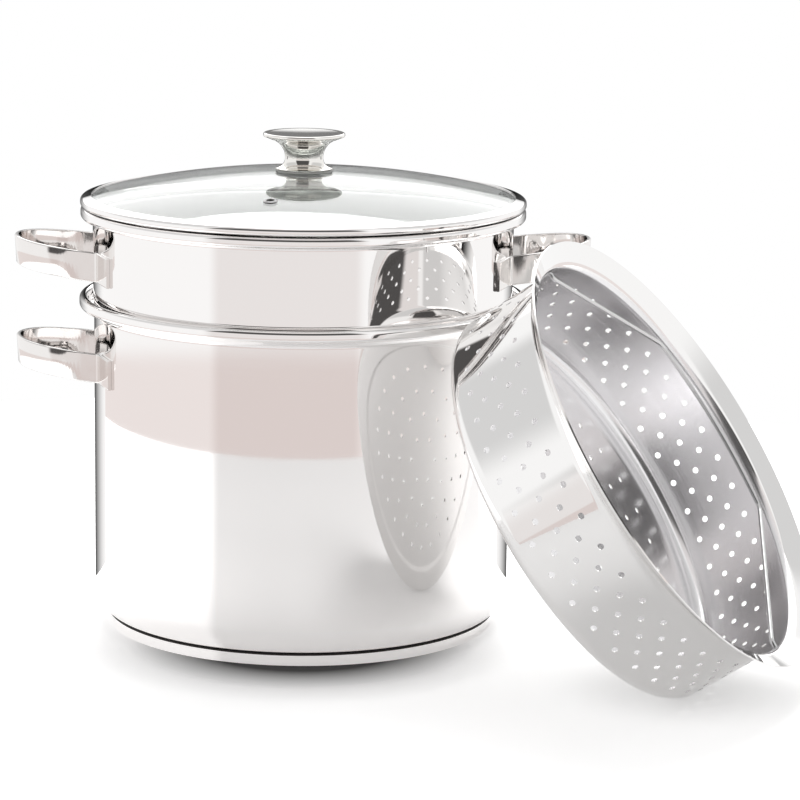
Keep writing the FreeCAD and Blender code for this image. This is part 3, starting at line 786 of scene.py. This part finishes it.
def makeBasket():
    r, low, lift = basket["radius"], basket["step"], basket["stepHeight"]
    lip = basket["lipHeight"]
    edge = basket["floorPitch"] * (basket["floorRings"] + 0.5) + punched["joinRing"]
    heights = basket["firstRow"] + basket["rowPitch"] * np.arange(basket["rows"])
    half = basket["rowPitch"] / 2
    lower = roundedPath([(edge, lift), (low - basket["stepWidth"], lift), (low, 0), (r, 0),
                         (r, heights[0] - half)],
                        [basket["stepBend"], basket["stepBend"], basket["corner"]])
    upper = roundedPath([(r, heights[-1] + half), (r, lip - basket["lipRise"]),
                         (r + basket["lipReach"], lip)], [basket["lipBend"]])
    patches = perforatedFloor(lift, basket["floorRings"], basket["floorPitch"], basket["hole"],
                              edge, basket["around"])
    patches += [spin(lower, basket["around"]), spin(upper, basket["around"])]
    patches += perforatedWall(r, heights, basket["rowPitch"], basket["perRow"],
                              basket["hole"], basket["around"])
    shell = thickened(*joined(patches), basket["sheet"], lip - basket["lipRise"])
    piece = makeMesh("steamerBasket", shell[0], shell[1], [basketPolished, basketSatin],
                     *shell[2:], leaned)
    standFor(piece, "steamer_body", "root")


# The bail: round wire along a flat path whose ends leave through the wall
bail = {"wire": 1.25, "end": 4.0, "shoulder": 114.0, "reach": 108.5, "barHalfWidth": 18.0,
        "cornerReach": 100.0, "cornerHalfWidth": 54.0, "bends": (3.5, 8.0, 140.0),
        "endRings": 5, "endDish": 0.5, "endStart": 0.15, "around": 20}


# Tube P(u) + r(u) (n cos v + z sin v). At each end the radius closes as r sin t, and the
# last rings draw back a little, so that the cut end is faintly dished
def makeBail():
    half = [(0, basket["radius"] + bail["end"]), (0, bail["shoulder"]),
            (bail["cornerReach"], bail["cornerHalfWidth"]), (bail["reach"], bail["barHalfWidth"])]
    whole = half + [(x, -y) for x, y in half[::-1]]
    line = roundedPath(whole, bail["bends"] + bail["bends"][::-1], step=6)
    wire, rings = bail["wire"], bail["endRings"]
    t = np.linspace(0, math.pi / 2, rings + 1)[:-1, None]
    tip = line[0] + unit(line[1] - line[0]) * wire * bail["endDish"] * (1 - np.sin(t))
    line = np.concatenate([tip, line[1:-1], (tip * [1, -1])[::-1]])
    closing = wire * np.sin(np.linspace(bail["endStart"], math.pi / 2, rings))
    size = np.concatenate([closing, np.full(len(line) - 2 * rings, wire), closing[::-1]])[:, None]
    runs = unit(np.gradient(line, axis=0))
    side = np.stack([-runs[:, 1], runs[:, 0]], 1)
    v = angles(bail["around"])
    flat = line[:, None] + side[:, None] * (size * np.cos(v))[..., None]
    rise = basket["bailHeight"] + size * np.sin(v)
    verts = np.concatenate([flat, rise[..., None]], 2).reshape(-1, 3)
    piece = makeMesh("wireBail", verts, tubeFaces(len(line), len(v)), [wireSteel],
                     place=leaned, sharp=50)
    standFor(piece, "steamer_bail", "bail")


makeBasket()
makeBail()
print("basket and bail made")

# Nodes that keep their own mesh get their finish
finishes = {"base_core": coreAluminium, "knob_gasket": siliconeGrey,
            "screw_gasket": siliconeGrey, "screw_washer": fastenerSteel,
            "knob_screw": fastenerSteel}
for nodeName, material in finishes.items():
    nodes[nodeName].material_slots[0].material = material

# The white room as metal and glass see it: brightest behind, darker in front and dark above,
# with greyer walls high on both sides. Rises are sines of the elevation, and what is seen
# is a brightness
studio = {"roomLight": 0.62, "whiteSeen": 1.02, "horizon": -0.182, "horizonSoft": 0.004,
          "whiteTone": "#FFFFFF", "frontTone": "#F6F2F1", "belowTone": "#F0E8E6"}
# Zones laid over each other in this order, the first being the front; each has two limits
# and a softness. Bearings are in degrees about Z from the camera's side to the right, and
# are measured to both sides where bothSides is set. A limit out of reach leaves a side open
zones = [
    {"bothSides": False, "bearing": (-49, 31, 4), "rise": (-2, 2, 0.04), "seen": 0.94},
    {"bothSides": False, "bearing": (-49, 31, 4), "rise": (0.06, 0.8, 0.04), "seen": 0.1},
    {"bothSides": True, "bearing": (52, 128, 8), "rise": (0.35, 2, 0.1), "seen": 0.72},
    {"bothSides": True, "bearing": (152, 400, 4), "rise": (0.19, 2, 0.03), "seen": 2.3},
    {"bothSides": True, "bearing": (160, 400, 4), "rise": (-2, 0.14, 0.02), "seen": 0.22}]


# 1 between low and high and 0 outside, with soft ends: one smooth step times another
def windowShare(tree, value, low, high, soft):
    rise, fall = [addNode(tree, "ShaderNodeMapRange", {"interpolation_type": "SMOOTHSTEP"}, {
        "Value": value, "From Min": end - soft, "From Max": end + soft, "To Min": start,
        "To Max": 1.0 - start}) for end, start in ((low, 0.0), (high, 1.0))]
    return addNode(tree, "ShaderNodeMath", {"operation": "MULTIPLY"}, {0: rise, 1: fall})


# What kind of ray looks, and 1 for what the camera sees, also through the glass
def raysSeen(tree):
    rays = addNode(tree, "ShaderNodeLightPath").outputs
    return rays, addNode(tree, "ShaderNodeMath", {"operation": "MAXIMUM"}, {
        0: rays["Is Camera Ray"], 1: rays["Is Transmission Ray"]})


# The angle about Z of a vector, measured from -Y towards +X: atan2(x, -y)
def bearingOf(tree, vector):
    split = addNode(tree, "ShaderNodeSeparateXYZ", None, {0: vector}).outputs
    front = addNode(tree, "ShaderNodeMath", {"operation": "MULTIPLY"}, {0: split[1], 1: -1.0})
    return addNode(tree, "ShaderNodeMath", {"operation": "ARCTAN2"}, {0: split[0], 1: front})


# The round table, white with a mottle too faint to see. shade is a painted shadow that darkens the
# table's colour round the pot's foot, and the lifts are added brightness; each gives two distances
# in millimetres and its values at these: round the pot from shadeCentre, round the basket from
# basketFoot, where the lift drops as a painted shade, and in front from the middle
table = {"radius": 670.0, "sides": 128, "tone": (0.86, 0.88), "mottle": 3.0,
         "shadeCentre": (0.0, -60.0, 0.0), "shade": (62.0, 100.0, 0.12, 1.0),
         "potLift": (62.0, 127.0, 0.0, 0.5), "fullLift": 0.5,
         "basketFoot": (212.0, -150.0, 0.0), "basketPaintedShade": (15.0, 85.0, 0.55, 1.0),
         "frontFrom": (-1.0, -63.0, 0.0), "front": (-49, 112, 4),
         "frontLift": (130.0, 450.0, 0.28, 0.04)}


# The camera sees the table lifted to the white of the background, except near what stands on it,
# where its colour is darkened as a painted shadow round the pot's foot and the lift drops as a
# painted shade by the basket's foot; metal and glass see it as light as the room, and darker
# towards the front's edge
def makeTable():
    material, tree = newMaterial("whiteTable")
    coords = addNode(tree, "ShaderNodeTexCoord").outputs["Object"]
    noise = addNode(tree, "ShaderNodeTexNoise", None, {"Vector": coords, "Scale": table["mottle"]})
    rays, seen = raysSeen(tree)
    radius, fromPot, fromFoot = [
        addNode(tree, "ShaderNodeVectorMath", {"operation": "DISTANCE"}, {
            0: coords, 1: [v * mm for v in centre]}).outputs["Value"]
        for centre in ((0, 0, 0), table["shadeCentre"], table["basketFoot"])]
    # The first darkens the table's colour as a painted shadow round the pot's foot, seen by all but
    # glossy rays; the third lowers the lift as a painted shade round the basket's foot
    paintedShadow, potLift, basketPaintedShade, frontLift = [
        addNode(tree, "ShaderNodeMapRange", {"interpolation_type": kind}, {
            "Value": distance, "From Min": low * mm, "From Max": high * mm,
            "To Min": start, "To Max": end})
        for distance, kind, (low, high, start, end) in (
            (fromPot, "LINEAR", table["shade"]), (fromPot, "LINEAR", table["potLift"]),
            (fromFoot, "SMOOTHSTEP", table["basketPaintedShade"]),
            (radius, "SMOOTHSTEP", table["frontLift"]))]
    paintedShadow = addNode(tree, "ShaderNodeMath", {"operation": "MAXIMUM"},
                      {0: paintedShadow, 1: rays["Is Glossy Ray"]})
    tone = addNode(tree, "ShaderNodeMapRange", None, {
        "Value": noise, "To Min": table["tone"][0], "To Max": table["tone"][1]})
    colour = addNode(tree, "ShaderNodeMath", {"operation": "MULTIPLY"}, {0: paintedShadow, 1: tone})
    diffuse = addNode(tree, "ShaderNodeBsdfDiffuse", None, {"Color": colour})
    clearLift = addNode(tree, "ShaderNodeMath", {"operation": "MULTIPLY"},
                        {0: potLift, 1: basketPaintedShade})
    shifted = addNode(tree, "ShaderNodeVectorMath", {"operation": "SUBTRACT"}, {
        0: coords, 1: [v * mm for v in table["frontFrom"]]})
    front = windowShare(tree, bearingOf(tree, shifted),
                        *[math.radians(v) for v in table["front"]])
    roomLift = addNode(tree, "ShaderNodeMapRange", None, {
        "Value": front, "To Min": table["fullLift"], "To Max": frontLift})
    cameraPart, glossyPart = [
        addNode(tree, "ShaderNodeMath", {"operation": "MULTIPLY"}, {0: ray, 1: lift})
        for ray, lift in ((seen, clearLift), (rays["Is Glossy Ray"], roomLift))]
    lift = addNode(tree, "ShaderNodeMath", {"operation": "ADD"}, {0: cameraPart, 1: glossyPart})
    glow = addNode(tree, "ShaderNodeEmission", None, {"Strength": lift})
    endMaterial(tree, addNode(tree, "ShaderNodeAddShader", None, {0: diffuse, 1: glow}))
    a = angles(table["sides"])
    verts = np.stack([np.cos(a), np.sin(a), 0 * a], 1) * table["radius"]
    makeMesh("table", verts, [list(range(len(a)))], [material])


# Upright cards behind the pot that draw its edges, seen only in reflections: black beside
# the pot, fading to white
cards = {"inner": 121.6, "outer": 220.0, "behind": 84.0, "foot": 1.0, "top": 262.0}


def makeCards():
    material, tree = newMaterial("graduatedCard")
    coords = addNode(tree, "ShaderNodeTexCoord").outputs["Object"]
    split = addNode(tree, "ShaderNodeSeparateXYZ", None, {0: coords}).outputs
    aside = addNode(tree, "ShaderNodeMath", {"operation": "ABSOLUTE"}, {0: split[0]})
    glow = addNode(tree, "ShaderNodeMapRange", {"interpolation_type": "SMOOTHSTEP"}, {
        "Value": aside, "From Min": cards["inner"] * mm, "From Max": cards["outer"] * mm,
        "To Max": studio["whiteSeen"]})
    endMaterial(tree, addNode(tree, "ShaderNodeEmission", None, {"Strength": glow}))
    for cardSide in (-1, 1):
        x = np.array([cards["inner"], cards["outer"], cards["outer"], cards["inner"]]) * cardSide
        z = np.array([cards["foot"], cards["foot"], cards["top"], cards["top"]])
        verts = np.stack([x, 0 * x + cards["behind"], z], 1)
        card = makeMesh("card", verts, [(0, 1, 2, 3)], [material])
        card.visible_camera = card.visible_diffuse = card.visible_shadow = False
        card.visible_transmission = False


# A wide soft light above and behind: power in watts, the rest in millimetres
lamp = {"size": 1300.0, "place": (150.0, 900.0, 1500.0), "power": 24.0}


def makeLight():
    data = bpy.data.lights.new("softLight", "AREA")
    data.size = lamp["size"] * mm
    data.energy = lamp["power"]
    place = Vector(lamp["place"]) * mm
    light = bpy.data.objects.new("softLight", data)
    light.matrix_world = (Matrix.Translation(place)
                          @ place.to_track_quat("Z", "Y").to_matrix().to_4x4())
    light.visible_glossy = False
    bpy.context.scene.collection.objects.link(light)


# The world is white to the camera. Metal and glass see the room's zones, and pinkish grey
# below the table's edge
def makeWorld():
    world = bpy.data.worlds.new("studio")
    bpy.context.scene.world = world
    world.use_nodes = True
    tree = world.node_tree
    tree.nodes.clear()
    coords = addNode(tree, "ShaderNodeTexCoord").outputs["Generated"]
    rise = addNode(tree, "ShaderNodeSeparateXYZ", None, {0: coords}).outputs[2]
    bearing = bearingOf(tree, coords)
    aside = addNode(tree, "ShaderNodeMath", {"operation": "ABSOLUTE"}, {0: bearing})
    shares, light = [], studio["whiteSeen"]
    for zone in zones:
        limits = [math.radians(v) for v in zone["bearing"]]
        across = windowShare(tree, aside if zone["bothSides"] else bearing, *limits)
        upright = windowShare(tree, rise, *zone["rise"])
        shares.append(addNode(tree, "ShaderNodeMath", {"operation": "MULTIPLY"},
                              {0: across, 1: upright}))
        light = addNode(tree, "ShaderNodeMapRange", None, {
            "Value": shares[-1], "To Min": light, "To Max": zone["seen"]})
    below = addNode(tree, "ShaderNodeMapRange", {"interpolation_type": "SMOOTHSTEP"}, {
        "Value": rise, "From Min": studio["horizon"] - studio["horizonSoft"],
        "From Max": studio["horizon"] + studio["horizonSoft"], "To Min": 1.0, "To Max": 0.0})
    tone = addNode(tree, "ShaderNodeMix", {"data_type": "RGBA"}, {
        0: shares[0], 6: hexColour(studio["whiteTone"]),
        7: hexColour(studio["frontTone"])}).outputs[2]
    tone = addNode(tree, "ShaderNodeMix", {"data_type": "RGBA", "blend_type": "MULTIPLY"}, {
        0: below, 6: tone, 7: hexColour(studio["belowTone"])}).outputs[2]
    rays, seen = raysSeen(tree)
    colour = addNode(tree, "ShaderNodeMix", {"data_type": "RGBA"}, {
        0: seen, 6: tone, 7: hexColour(studio["whiteTone"])}).outputs[2]
    light = addNode(tree, "ShaderNodeMapRange", None, {
        "Value": rays["Is Glossy Ray"], "To Min": studio["roomLight"], "To Max": light})
    light = addNode(tree, "ShaderNodeMapRange", None, {
        "Value": seen, "To Min": light, "To Max": 1.0})
    background = addNode(tree, "ShaderNodeBackground", None, {"Color": colour, "Strength": light})
    addNode(tree, "ShaderNodeOutputWorld", None, {"Surface": background})


makeCards()
makeLight()
makeTable()
makeWorld()
bpy.context.scene.view_settings.view_transform = "Standard"
print("studio set")
